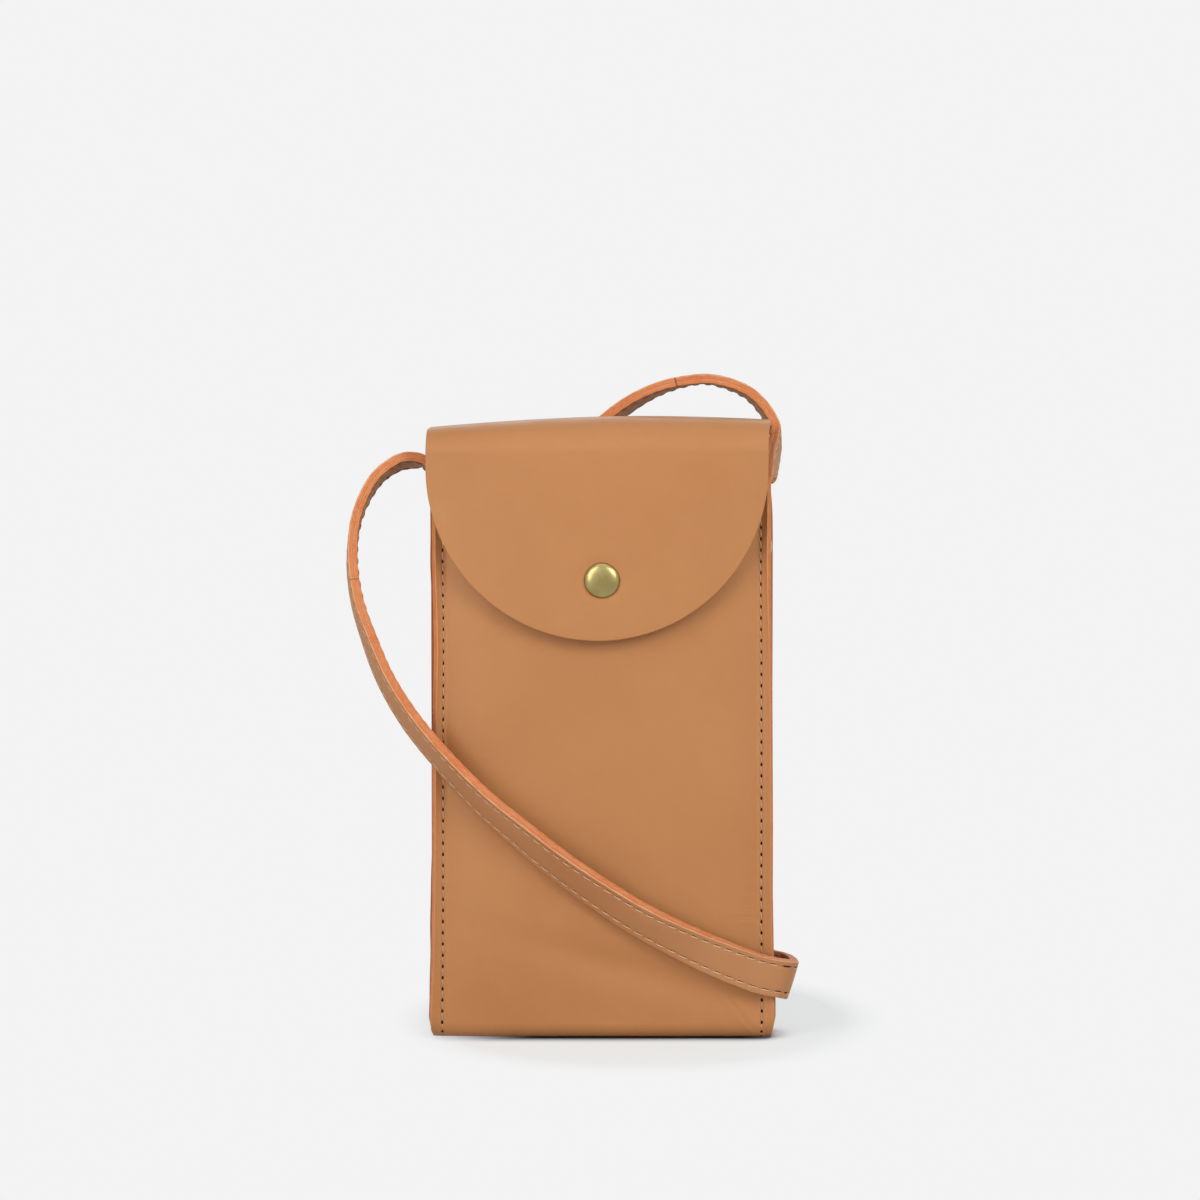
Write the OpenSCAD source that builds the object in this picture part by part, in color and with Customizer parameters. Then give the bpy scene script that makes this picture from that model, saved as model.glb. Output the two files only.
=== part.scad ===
// Phone pouch in tanned leather. One panel wraps the front, the base and the
// back, a channel gusset closes each side, and the back runs on over the mouth
// as a rounded flap that folds twice and closes with a press snap. A flat sewn
// strap starts in the left gusset's channel, crosses the front, turns round
// the right side, climbs behind the pouch and ends in the right channel.
// X runs across the front, the front faces -Y, Z is up, and the origin is the
// middle of the base.

/* [Pouch] */
// Width of the panels, cut edge to cut edge
pouch_w = 105; // [96:1:120]
// Height from the base to the top of the closed flap
pouch_h = 191; // [176:1:215]
// Depth over the panels at their stitched edges
pouch_d = 22; // [20:0.5:30]
// How far the middle of the front stands out past its edges
front_swell = 2.5; // [1:0.5:4]
// How far the middle of the back stands out past its edges
back_swell = 1.5; // [0.5:0.5:3]
// Outer radius of the bends between the base and the panels
bend_r = 5.5; // [4:0.5:8]
// Drop from the top of the flap to the edge of the mouth
mouth_drop = 18; // [14:1:24]

/* [Leather] */
// Thickness of the leather of the panels and the flap
leather_t = 1.8; // [1.4:0.1:2.2]
// Thickness of the gusset leather
gusset_t = 1.4; // [1:0.1:1.8]
// Width of the gusset edges that turn out and are sewn to the panels
flange_w = 5; // [4.6:0.1:6]
// Distance from the panel edges to the seam
seam_inset = 3.4; // [2.6:0.1:3.6]
// Width of the sewing thread
thread_w = 0.8; // [0.5:0.1:1]
// Height of the sewing thread
thread_h = 0.4; // [0.3:0.05:0.5]

/* [Flap] */
// Outer radius of the fold at the back of the top
rear_roll_r = 9; // [7:0.5:10]
// Outer radius of the fold at the front of the top
front_roll_r = 10; // [7:0.5:10]
// Straight side of the flap below the front fold
flap_side = 5; // [2:0.5:12]
// Slit between the leather on the two sides of a fold
fold_slit = 0.35; // [0.3:0.05:0.5]

/* [Snap] */
// Height of the snap above the lowest point of the flap
snap_up = 18.5; // [14:0.5:24]
// Radius of the cap
cap_r = 5.5; // [5:0.1:6.5]
// Height of the domed cap
cap_h = 1.9; // [1.4:0.1:2.4]
// Radius of the socket
socket_r = 5.2; // [4.8:0.1:5.6]
// Thickness of the base plate of the stud
stud_plate_t = 0.8; // [0.6:0.1:1]
// Radius of the head of the stud
stud_head_r = 2.3; // [2.1:0.05:2.5]
// Radius of the wire of the snap spring
wire_r = 0.3; // [0.25:0.05:0.35]

/* [Strap] */
// Width of the strap
strap_w = 12; // [10:0.5:12.5]
// Thickness of the strap over both layers
strap_t = 3; // [2.4:0.1:3.4]
// Distance from the edges of the strap to its seams
strap_seam_inset = 1.8; // [1.4:0.1:2.2]
// Drop from the mouth to the lower ends of the strap
strap_drop = 30; // [27:1:45]
// Distance from the end of the strap to its rivet
rivet_up = 8; // [6:0.5:12]
// Radius of the head of the rivet
rivet_r = 3.4; // [2.8:0.1:3.6]

/* [Hidden] */
$fn = 64;

// Film of glue or air between two pieces that lie on each other
bond = 0.05;
// Room round a post in its hole
post_gap = 0.05;
// Room under a thread where the strap's twisted faces are drawn as triangles
twist_room = 0.2;
// Room between the web of a gusset and the thread of the strap end in its channel
channel_room = 0.15;
// How far a cut runs past what it cuts
past = 5;

half_w = pouch_w / 2;
half_d = pouch_d / 2;
front_y = half_d + front_swell;
back_y = half_d + back_swell;
web_x = half_w - flange_w;
seam_x = half_w - seam_inset;
mouth_z = pouch_h - mouth_drop;
rear_fold = [half_d - rear_roll_r, pouch_h - rear_roll_r];

// Length over which the panels rise from their edges to their full swell
side_run = 14;
base_run = 35;

// The snap, measured from the inner face of the flap towards the front panel
plate_t = 0.5;
rolled_rim_t = 0.4;
head_room = 0.3;
head_t = 0.6;
lip_t = 0.4;
snap_air = 0.4;
wire_room = 0.1;
rolled_rim_r = 2.2;
head_z = plate_t + rolled_rim_t + head_room;
neck_z = head_z + head_t;
wire_z = neck_z + wire_room + wire_r;
lip_z = wire_z + wire_r + wire_room;
socket_h = lip_z + lip_t;
snap_stack = socket_h + snap_air + stud_plate_t;
neck_r = stud_head_r - 0.22 * stud_head_r;
wire_ring_r = neck_r + wire_r + wire_room;
chamber_r = wire_ring_r + wire_r + wire_room;
stud_r = socket_r - stud_plate_t / 4;

// Tubes that hold the cap and the stud to the leather
cap_post_r = 1.5;
cap_post_bore_r = 1.1;
stud_post_r = 1.2;
post_flange_r = 4.5;
post_flange_t = 0.5;

flap_y = front_y + snap_stack + leather_t;
front_fold = [front_roll_r - flap_y, pouch_h - front_roll_r];
flap_arc_z = front_fold[1] - flap_side;
snap_z = flap_arc_z - half_w + snap_up;

// Rivets at the ends of the strap
rivet_post_r = 1.2;
rivet_head_h = 1;
rivet_foot_t = 0.6;
strap_end_z = mouth_z - strap_drop;
rivet_z = strap_end_z + rivet_up;
strap_in_x = web_x + thread_h + twist_room + channel_room;
channel_x = strap_in_x + strap_t / 2;
channel_top_z = mouth_z - strap_w * 0.75;

// Route of the strap outside the channels. Each row holds the place across, in
// half widths, the panel that it stands off (-1 front, 0 side, 1 back), the
// stand-off in strap widths, the height as a share of the pouch's, and the
// direction across the strap from its first edge to its second.
route_shares = [
    [-0.966, 0, 0, 0.896, 0, 1, 0],
    [-1.02, 0, -0.02, 0.9235, 0, 0.99, -0.14],
    [-1.108, 0, -0.04, 0.929, 0, 0.96, -0.27],
    [-1.203, 0, -0.08, 0.9235, 0.05, 0.96, -0.24],
    [-1.328, 0, -0.17, 0.896, 0.1, 0.98, -0.12],
    [-1.43, 0, -0.26, 0.839, 0.03, 1, -0.02],
    [-1.459, 0, -0.38, 0.772, -0.08, 0.99, -0.02],
    [-1.43, -0.15, -0.42, 0.707, -0.15, 0.98, -0.06],
    [-1.355, -0.35, -0.42, 0.644, -0.23, 0.96, -0.11],
    [-1.257, -0.6, -0.35, 0.58, -0.29, 0.94, -0.16],
    [-1.116, -0.8, -0.36, 0.518, -0.33, 0.91, -0.24],
    [-0.941, -1, -0.36, 0.46, -0.34, 0.89, -0.31],
    [-0.709, -1, -0.49, 0.393, -0.36, 0.83, -0.42],
    [-0.476, -1, -0.51, 0.338, -0.37, 0.77, -0.51],
    [-0.244, -1, -0.5, 0.286, -0.38, 0.71, -0.58],
    [-0.011, -1, -0.46, 0.24, -0.38, 0.65, -0.66],
    [0.221, -1, -0.43, 0.199, -0.37, 0.58, -0.72],
    [0.455, -1, -0.38, 0.165, -0.36, 0.48, -0.8],
    [0.688, -1, -0.3, 0.135, -0.34, 0.32, -0.88],
    [0.922, -1, -0.17, 0.109, -0.32, 0.19, -0.93],
    [1.056, -0.97, 0, 0.1, -0.3, 0.14, -0.95],
    [1.094, -0.45, 0, 0.093, -0.3, 0.05, -0.96],
    [1.094, 0.45, 0, 0.09, -0.26, 0, -0.97],
    [1.062, 0.95, 0.05, 0.091, -0.2, -0.05, -0.97],
    [0.933, 1, 0.26, 0.0995, -0.1, -0.1, -0.99],
    [0.724, 1, 0.48, 0.123, 0, -0.3, -0.95],
    [0.457, 1, 0.67, 0.1545, 0.1, -0.6, -0.8],
    [0.171, 1, 0.77, 0.196, 0.14, -0.83, -0.54],
    [-0.095, 1, 0.79, 0.251, 0.1, -0.95, -0.3],
    [-0.324, 1, 0.79, 0.325, 0.03, -1, -0.05],
    [-0.486, 1, 0.76, 0.414, 0, -1, 0],
    [-0.571, 1, 0.72, 0.518, 0, -1, 0],
    [-0.581, 1, 0.69, 0.628, 0, -1, 0],
    [-0.514, 1, 0.66, 0.738, 0, -1, 0.05],
    [-0.371, 1, 0.63, 0.843, -0.04, -0.98, 0.12],
    [-0.162, 1, 0.63, 0.935, -0.1, -0.97, 0.2],
    [0.095, 1, 0.63, 1.001, -0.12, -0.96, 0.24],
    [0.333, 1, 0.65, 1.039, -0.06, -0.98, 0.16],
    [0.571, 1, 0.65, 1.055, 0, -1, 0.06],
    [0.718, 1, 0.61, 1.05, 0, -0.99, 0.1],
    [0.847, 1, 0.55, 1.0358, 0, -0.99, 0.14],
    [0.929, 1, 0.5, 1.0167, 0, -0.98, 0.2],
    [0.991, 1, 0.43, 0.9925, -0.03, -0.94, 0.33],
    [1.041, 1, 0.32, 0.9678, -0.05, -0.87, 0.48],
    [1.051, 0.98, 0, 0.9481, -0.07, -0.83, 0.55],
    [1.042, 0.62, 0, 0.9337, -0.1, -0.85, 0.51],
    [1.025, 0.3, 0, 0.9223, -0.14, -0.9, 0.4],
    [1.002, 0.1, 0, 0.9122, -0.12, -0.96, 0.24],
    [0.965, 0, 0, 0.9, -0.03, -1, 0.08],
    [0.95, 0, 0, 0.88, 0, -1, 0]
];
steps_per_row = 3;

function unit(v) = v / norm(v);
function across(v, along) = unit(v - (v * along) * along);
function panel_y(share) = share < 0 ? share * front_y : share * back_y;
function route_row(r) = [
    r[0] * half_w, panel_y(r[1]) + r[2] * strap_w, r[3] * pouch_h, r[4], r[5], r[6]
];
function channel_row(side, z) = [side * channel_x, 0, z, 0, -side, 0];

// Knots of the strap from its left end to its right end
strap_knots = concat(
    [channel_row(-1, strap_end_z), channel_row(-1, rivet_z), channel_row(-1, channel_top_z)],
    [for (r = route_shares) route_row(r)],
    [channel_row(1, channel_top_z), channel_row(1, rivet_z), channel_row(1, strap_end_z)]
);
last_knot = len(strap_knots) - 1;

// A smooth curve through the knots
function curve(a, b, c, d, t) =
    (2 * b + (c - a) * t + (2 * a - 5 * b + 4 * c - d) * t ^ 2 + (3 * b - a - 3 * c + d) * t ^ 3) / 2;
function knot(i) = strap_knots[min(max(i, 0), last_knot)];
strap_line = concat(
    [
        for (i = [0 : last_knot - 1], s = [0 : steps_per_row - 1])
            curve(knot(i - 1), knot(i), knot(i + 1), knot(i + 2), s / steps_per_row)
    ],
    [knot(last_knot)]
);
last_ring = len(strap_line) - 1;

function place(i) = [for (k = [0 : 2]) strap_line[i][k]];
function lean(i) = [for (k = [3 : 5]) strap_line[i][k]];
function heading(i) = unit(place(min(i + 1, last_ring)) - place(max(i - 1, 0)));

// The four corners of a bar that runs along the strap between two offsets
// across it and two offsets out of its face
function bar_ring(i, a, b) =
    let (p = place(i), t = heading(i), w = across(lean(i), t), n = cross(w, t))
    [p + a[0] * w + b[0] * n, p + a[1] * w + b[0] * n, p + a[1] * w + b[1] * n, p + a[0] * w + b[1] * n];

module strap_bar(a, b, first, last) {
    rings = [for (i = [first : last]) each bar_ring(i, a, b)];
    top = 4 * (last - first);
    sides = [
        for (i = [0 : 4 : top - 1], k = [0 : 3])
            let (m = (k + 1) % 4)
            each k < 2
                ? [[i + k, i + m, i + 4 + m], [i + k, i + 4 + m, i + 4 + k]]
                : [[i + k, i + m, i + 4 + k], [i + m, i + 4 + m, i + 4 + k]]
    ];
    ends = [[0, 2, 1], [0, 3, 2], [top, top + 1, top + 2], [top, top + 2, top + 3]];
    polyhedron(rings, concat(sides, ends));
}

// Draws a side view, with its first axis along Y and its second along Z
module along_x(from, length) {
    translate([from, 0, 0]) rotate([90, 0, 90]) linear_extrude(length) children();
}

// Draws a front view from its front face at -depth back to its rear face
module along_y(depth, length) {
    translate([0, length - depth, 0]) rotate([90, 0, 0]) linear_extrude(length) children();
}

// Turns a profile of radius and distance about the snap's axis, with distance
// zero at the given depth and growing towards the back
module about_snap(depth) {
    translate([0, -depth, snap_z]) rotate([-90, 0, 0]) rotate_extrude() children();
}

module step(r_in, r_out, from, to) {
    translate([r_in, from]) square([r_out - r_in, to - from]);
}

function rise_r(run, rise) = (run ^ 2 + rise ^ 2) / (2 * rise);

// A low mound on the line v = 0, moved in by inset
module mound(span, run, rise, inset) {
    flat = span / 2 - run;
    r = rise_r(run, rise);
    depth = 2 * leather_t;
    translate([-flat, -depth]) square([2 * flat, depth + rise - inset]);
    for (side = [-1, 1])
        intersection() {
            translate([side * flat, rise - r]) circle(r - inset);
            translate([side < 0 ? -span / 2 : flat, -depth]) square([run, depth + rise]);
        }
}

// A side view with a flat base and two round bends
module tub(inset, high) {
    half = half_d - inset;
    r = bend_r - inset;
    translate([-half, inset + r]) square([2 * half, high - inset - r]);
    translate([r - half, inset]) square([2 * (half - r), 2 * r]);
    for (side = [-1, 1])
        translate([side * (half - r), inset + r]) circle(r);
}

module side_form(inset, high) {
    back_span = rear_fold[1] - bend_r;
    tub(inset, high);
    translate([-half_d, mouth_z]) rotate(90) mound(2 * (mouth_z - bend_r), base_run, front_swell, inset);
    translate([half_d, bend_r + back_span / 2]) rotate(-90) mound(back_span, base_run, back_swell, inset);
}

module plan_form(inset, half_x) {
    translate([-half_x, inset - half_d]) square([2 * half_x, 2 * (half_d - inset)]);
    translate([0, half_d]) mound(2 * web_x, side_run, back_swell, inset);
    mirror([0, 1]) translate([0, half_d]) mound(2 * web_x, side_run, front_swell, inset);
}

// The swollen block that the panels wrap, moved in by inset
module block(inset, beyond) {
    intersection() {
        along_x(-half_w - beyond, pouch_w + 2 * beyond) side_form(inset, rear_fold[1] + beyond);
        linear_extrude(rear_fold[1] + beyond) plan_form(inset, half_w + beyond);
    }
}

// A strip that follows the base and the bends between two insets
module tub_strip(outer, inner) {
    difference() {
        tub(outer, mouth_z);
        tub(inner, mouth_z + past);
    }
}

// Leather round a fold, between two angles from +Y
module roll(centre, r, from, to) {
    reach = 2 * r;
    mid = (from + to) / 2;
    translate(centre)
        intersection() {
            difference() {
                circle(r);
                circle(r - leather_t);
            }
            polygon([[0, 0], reach * heading_at(from), reach * heading_at(mid), reach * heading_at(to)]);
        }
}

function heading_at(angle) = [cos(angle), sin(angle)];
function slit_angle(r) = fold_slit / (r - leather_t) * 90 / PI;

module body_wrap() {
    color("peru")
        difference() {
            union() {
                difference() {
                    block(0, 0);
                    block(leather_t, past);
                    translate([-half_w - past, -front_y - past, mouth_z])
                        cube([pouch_w + 2 * past, front_y + past, pouch_h]);
                }
                along_x(-half_w, pouch_w) roll(rear_fold, rear_roll_r, 0, 45 - slit_angle(rear_roll_r));
            }
            for (side = [-1, 1])
                along_x(side * seam_x - thread_w / 2 - bond, thread_w + 2 * bond) tub_strip(-past, thread_h + bond);
            about_snap(front_y + past) step(0, stud_post_r + post_gap, 0, 3 * past);
        }
}

module gusset(side) {
    outer = leather_t + bond;
    color("sienna")
        mirror([side < 0 ? 1 : 0, 0, 0])
            difference() {
                union() {
                    along_x(web_x - gusset_t, gusset_t) tub(outer, mouth_z);
                    along_x(web_x - gusset_t, flange_w + gusset_t) tub_strip(outer, outer + gusset_t);
                }
                translate([web_x - gusset_t - past, 0, rivet_z])
                    rotate([0, 90, 0])
                        cylinder(r = rivet_post_r + post_gap, h = gusset_t + 2 * past);
            }
}

module seam_thread(side) {
    color("wheat")
        along_x(side * seam_x - thread_w / 2, thread_w) tub_strip(bond, thread_h);
}

module seam_bobbin(side) {
    inner = leather_t + gusset_t + 2 * bond;
    color("wheat")
        along_x(side * seam_x - thread_w / 2, thread_w) tub_strip(inner, inner + thread_h);
}

module flap_bridge() {
    color("peru")
        along_x(-half_w, pouch_w) {
            roll(rear_fold, rear_roll_r, 45 + slit_angle(rear_roll_r), 90);
            translate([front_fold[0], pouch_h - leather_t])
                square([rear_fold[0] - front_fold[0], leather_t]);
            roll(front_fold, front_roll_r, 90, 135 - slit_angle(front_roll_r));
        }
}

module flap_outline() {
    translate([-half_w, flap_arc_z]) square([pouch_w, flap_side]);
    intersection() {
        translate([0, flap_arc_z]) circle(half_w);
        translate([-half_w, flap_arc_z - half_w]) square([pouch_w, half_w]);
    }
}

module flap_panel() {
    color("peru")
        difference() {
            union() {
                along_y(flap_y, leather_t) flap_outline();
                along_x(-half_w, pouch_w) roll(front_fold, front_roll_r, 135 + slit_angle(front_roll_r), 180);
            }
            about_snap(flap_y + past) step(0, cap_post_r + post_gap, 0, leather_t + 2 * past);
        }
}

// Cap: a dome on the flap with a tube that is rolled over inside the socket
module snap_cap() {
    dome_r = rise_r(cap_r, cap_h);
    tube = leather_t + plate_t + bond;
    color("darkkhaki")
        about_snap(flap_y + bond) {
            difference() {
                intersection() {
                    translate([0, dome_r - cap_h]) circle(dome_r);
                    step(0, cap_r, -cap_h, 0);
                }
                step(0, cap_post_bore_r, -plate_t, 0);
            }
            step(cap_post_bore_r, cap_post_r, -plate_t, tube + bond);
            step(cap_post_bore_r, rolled_rim_r, tube + bond, tube + rolled_rim_t);
        }
}

module snap_socket() {
    color("goldenrod")
        about_snap(flap_y - leather_t) {
            step(cap_post_r + post_gap, socket_r, bond, plate_t);
            step(chamber_r, socket_r, bond, socket_h);
            step(neck_r + 2 * wire_r, socket_r, lip_z, socket_h);
        }
}

module snap_spring() {
    color("silver")
        about_snap(flap_y - leather_t - wire_z)
            translate([wire_ring_r, 0]) circle(wire_r);
}

module snap_stud() {
    hollow = stud_post_r + post_gap;
    color("goldenrod")
        about_snap(flap_y - leather_t) {
            step(0, stud_head_r, head_z, neck_z);
            step(hollow, neck_r, neck_z, snap_stack - bond);
            step(0, neck_r, neck_z, neck_z + plate_t);
            step(hollow, stud_r, snap_stack - stud_plate_t, snap_stack - bond);
        }
}

module snap_post() {
    flange_y = leather_t + bond;
    color("darkgoldenrod")
        about_snap(front_y) {
            step(0, stud_post_r, -stud_plate_t, flange_y + post_flange_t);
            step(0, post_flange_r, flange_y, flange_y + post_flange_t);
        }
}

// Holes for the rivets through one layer of the strap
module rivet_holes() {
    for (side = [-1, 1])
        translate([side * channel_x - strap_t, 0, rivet_z])
            rotate([0, 90, 0])
                cylinder(r = rivet_post_r + post_gap, h = 2 * strap_t);
}

module strap_layer(b) {
    difference() {
        strap_bar([-strap_w / 2, strap_w / 2], b, 0, last_ring);
        rivet_holes();
    }
}

module strap_thread(edge, face) {
    middle = edge * (strap_w / 2 - strap_seam_inset);
    low = strap_t / 2 + twist_room;
    a = [middle - thread_w / 2, middle + thread_w / 2];
    b = face > 0 ? [low, low + thread_h] : [-low - thread_h, -low];
    color("wheat") strap_bar(a, b, 1, last_ring - 1);
}

module strap_face() {
    color("rosybrown") strap_layer([bond / 2, strap_t / 2]);
}

module strap_backing() {
    color("sandybrown") strap_layer([-strap_t / 2, -bond / 2]);
}

module on_rivet(side, x) {
    translate([side * x, 0, rivet_z]) rotate([0, side * 90, 0]) rotate_extrude() children();
}

module strap_rivet_heads() {
    seat = strap_in_x + strap_t + bond;
    dome_r = rise_r(rivet_r, rivet_head_h);
    color("darkkhaki")
        for (side = [-1, 1])
            on_rivet(side, seat)
                intersection() {
                    translate([0, rivet_head_h - dome_r]) circle(dome_r);
                    step(0, rivet_r, 0, rivet_head_h);
                }
}

module strap_rivet_posts() {
    foot_x = web_x - gusset_t - bond;
    reach = strap_in_x + strap_t - foot_x;
    color("darkgoldenrod")
        for (side = [-1, 1])
            on_rivet(side, foot_x) {
                step(0, rivet_r, -rivet_foot_t, 0);
                step(0, rivet_post_r, -rivet_foot_t, reach);
            }
}

body_wrap();
gusset(-1);  // gusset_left
gusset(1);  // gusset_right
seam_thread(-1);  // seam_thread_left
seam_thread(1);  // seam_thread_right
seam_bobbin(-1);  // seam_bobbin_left
seam_bobbin(1);  // seam_bobbin_right
flap_bridge();
flap_panel();
snap_cap();
snap_socket();
snap_spring();
snap_stud();
snap_post();
strap_face();
strap_backing();
strap_thread(-1, 1);  // strap_thread_upper
strap_thread(1, 1);  // strap_thread_lower
strap_thread(-1, -1);  // strap_bobbin_upper
strap_thread(1, -1);  // strap_bobbin_lower
strap_rivet_heads();
strap_rivet_posts();
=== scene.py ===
"""Looks of a tanned leather phone pouch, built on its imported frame.

Lengths are in metres. X runs across the front, the front faces -Y, and Z is up.
"""
import math

import bmesh
import bpy
import numpy as np
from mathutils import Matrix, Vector


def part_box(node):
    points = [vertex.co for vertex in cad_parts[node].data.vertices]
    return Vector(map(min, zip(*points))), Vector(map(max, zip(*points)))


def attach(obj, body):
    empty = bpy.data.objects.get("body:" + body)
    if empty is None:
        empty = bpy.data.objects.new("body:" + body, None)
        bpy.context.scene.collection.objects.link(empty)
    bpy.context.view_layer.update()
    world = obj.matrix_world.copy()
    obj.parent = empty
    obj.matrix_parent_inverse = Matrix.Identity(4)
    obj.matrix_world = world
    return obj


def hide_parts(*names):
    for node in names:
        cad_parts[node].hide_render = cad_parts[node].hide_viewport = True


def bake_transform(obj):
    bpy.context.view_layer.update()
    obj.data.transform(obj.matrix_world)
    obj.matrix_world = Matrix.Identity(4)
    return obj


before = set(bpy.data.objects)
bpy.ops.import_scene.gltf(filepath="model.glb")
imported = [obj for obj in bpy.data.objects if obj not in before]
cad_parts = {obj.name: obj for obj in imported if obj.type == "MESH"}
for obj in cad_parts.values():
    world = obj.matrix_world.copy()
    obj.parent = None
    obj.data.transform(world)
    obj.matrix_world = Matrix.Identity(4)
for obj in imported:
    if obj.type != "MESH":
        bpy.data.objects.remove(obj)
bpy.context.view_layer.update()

MM = 0.001

# Sizes that follow the frame
CAP_LOW, CAP_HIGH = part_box("snap_cap")
HALF_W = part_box("body_wrap")[1].x
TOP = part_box("flap_bridge")[1].z
FLAP_Y = -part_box("flap_panel")[0].y
SNAP_Z = (CAP_LOW.z + CAP_HIGH.z) / 2
CAP_R = (CAP_HIGH.z - CAP_LOW.z) / 2
MOUTH_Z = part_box("gusset_left")[1].z

# The pouch's own sizes, as its solids have them
HALF_D = 11 * MM
FRONT_SWELL = 2.5 * MM
BACK_SWELL = 1.5 * MM
BEND_R = 5.5 * MM
REAR_R = 9 * MM
FRONT_R = 10 * MM
FLAP_SIDE = 5 * MM
LEATHER_T = 1.8 * MM
GUSSET_T = 1.4 * MM
FLANGE_W = 5 * MM
SEAM_X = HALF_W - 3.4 * MM
WEB_X = HALF_W - FLANGE_W
BOND = 0.05 * MM
STITCH = 3.45 * MM


def rise(t):
    """Climbs smoothly from 0 to 1 as t does."""
    t = np.clip(t, 0, 1)
    return t * t * (3 - 2 * t)


def bump(t):
    """A smooth hill of height 1 at t = 0."""
    return np.exp(-t * t)


def unit(v):
    """The same directions with length 1."""
    return v / np.maximum(np.linalg.norm(v, axis=-1, keepdims=True), 1e-12)


# The line that the one leather panel follows, seen from the side: each run has
# a length and a curvature, and the line turns the same way at every bend
RUNS = [
    (MOUTH_Z - BEND_R, 0),
    (BEND_R * math.pi / 2, 1 / BEND_R),
    (2 * (HALF_D - BEND_R), 0),
    (BEND_R * math.pi / 2, 1 / BEND_R),
    (TOP - REAR_R - BEND_R, 0),
    (REAR_R * math.pi / 2, 1 / REAR_R),
    (HALF_D - REAR_R + FLAP_Y - FRONT_R, 0),
    (FRONT_R * math.pi / 2, 1 / FRONT_R),
    (FLAP_SIDE + HALF_W, 0),
]
RUN_ENDS = np.concatenate([[0], np.cumsum([r[0] for r in RUNS])])
BASE_FRONT, BASE_START, BASE_END, BASE_REAR, REAR_FOLD, BRIDGE, FRONT_FOLD, FLAP = RUN_ENDS[1:-1]
BASE_MIDDLE = (BASE_START + BASE_END) / 2
CUT = (BRIDGE + FRONT_FOLD) / 2
ARC = FLAP + FLAP_SIDE
# Where the seams and the gussets end on the back
SEAM_END = BASE_REAR + BASE_FRONT


def run_starts():
    """Place (y, z), heading and curvature at the start of each run."""
    y, z, heading = -HALF_D, MOUTH_Z, -math.pi / 2
    rows = []
    for length, curve in RUNS:
        rows.append((y, z, heading, curve))
        turn = curve * length
        if curve:
            y += (math.sin(heading + turn) - math.sin(heading)) / curve
            z += (math.cos(heading) - math.cos(heading + turn)) / curve
        else:
            y += math.cos(heading) * length
            z += math.sin(heading) * length
        heading += turn
    return np.array(rows)


STARTS = run_starts()


def side_line(s):
    """Place (y, z) and outward direction (y, z) on the side line at arc length s."""
    k = np.clip(np.searchsorted(RUN_ENDS, s, side="right") - 1, 0, len(RUNS) - 1)
    y, z, heading, curve = (STARTS[k, i] for i in range(4))
    along = s - RUN_ENDS[k]
    turned = heading + curve * along
    safe = np.where(curve > 0, curve, 1)
    bent_y = (np.sin(turned) - np.sin(heading)) / safe
    bent_z = (np.cos(heading) - np.cos(turned)) / safe
    y = y + np.where(curve > 0, bent_y, np.cos(heading) * along)
    z = z + np.where(curve > 0, bent_z, np.sin(heading) * along)
    return y, z, np.sin(turned), -np.cos(turned)


# Small wrinkles of the front panel and, last, its broad dent below the strap: place
# across and up in mm, direction in degrees, half length, half width and height in mm
WRINKLES = [
    (45, 48, 4, 5, 0.55, 0.05), (44, 44.5, -3, 6, 0.5, 0.06), (45.5, 41.8, 5, 5, 0.45, -0.05),
    (44, 39, 2, 6.5, 0.5, 0.06), (45, 36, -4, 5.5, 0.5, 0.05), (43.5, 33.6, 3, 6, 0.45, -0.05),
    (45, 31, 6, 5, 0.5, 0.04), (44.5, 52, 0, 5, 0.6, 0.04), (43.5, 27.8, 4, 5, 0.5, 0.03),
    (40.2, 9, -47, 3.8, 0.75, 0.2), (41, 10, -46, 3.4, 0.6, -0.14), (42.2, 10.2, -45, 3.4, 0.7, 0.17),
    (42.6, 5.4, -46, 3.8, 0.75, 0.2), (43.4, 6.3, -46, 3.4, 0.6, -0.14), (44.2, 7.2, -44, 3, 0.7, 0.16),
    (39.6, 6.6, -48, 2.6, 0.7, 0.1), (46, 120, 6, 5, 0.7, 0.06), (45, 126, -5, 5, 0.8, 0.05),
    (8, 22, -16, 34, 5.5, -1.5),
]


def wrinkles(x, z):
    """Height of the wrinkles at a place on the front."""
    total = np.zeros_like(x)
    for px, pz, angle, long, wide, high in WRINKLES:
        a = math.radians(angle)
        u = (x - px * MM) * math.cos(a) + (z - pz * MM) * math.sin(a)
        v = (z - pz * MM) * math.cos(a) - (x - px * MM) * math.sin(a)
        total += high * MM * bump(u / (long * MM)) * bump(v / (wide * MM))
    return total


# The panels' swell falls away over these runs beside the seams and beside the bends
SIDE_RUN = 14 * MM
BASE_RUN = 35 * MM
# The back's shapes at the seams fade out over this run below the rear fold
FADE_RUN = 25 * MM
# The edges are drawn in beyond MARGIN_X, and they flare beyond VALLEY_X
MARGIN_X = 45.5 * MM
VALLEY_X = 48.2 * MM
FRONT_FLARE = 0.4
BACK_FLARE = 0.3
SEAM_GROOVE = 0.3 * MM
SEAM_RIM = 0.1 * MM
UNEVEN = 0.16 * MM
BEVEL = 0.25 * MM
EDGE_X = HALF_W - BEVEL
# The base's left and right corners lift
LIFTS = 0.2 * MM, 0.05 * MM
# The strap presses the back's right edge in over this run
STRAP_PRESS = 1.9 * MM
PRESS_RUN = 12 * MM
# The top is highest at CREST_X and sags towards its ends, each over its own run
CREST_X = 11 * MM
SAG_LEFT, SAG_LEFT_RUN = 3.6 * MM, 65 * MM
SAG_RIGHT, SAG_RIGHT_RUN = 1.1 * MM, 41 * MM
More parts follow.
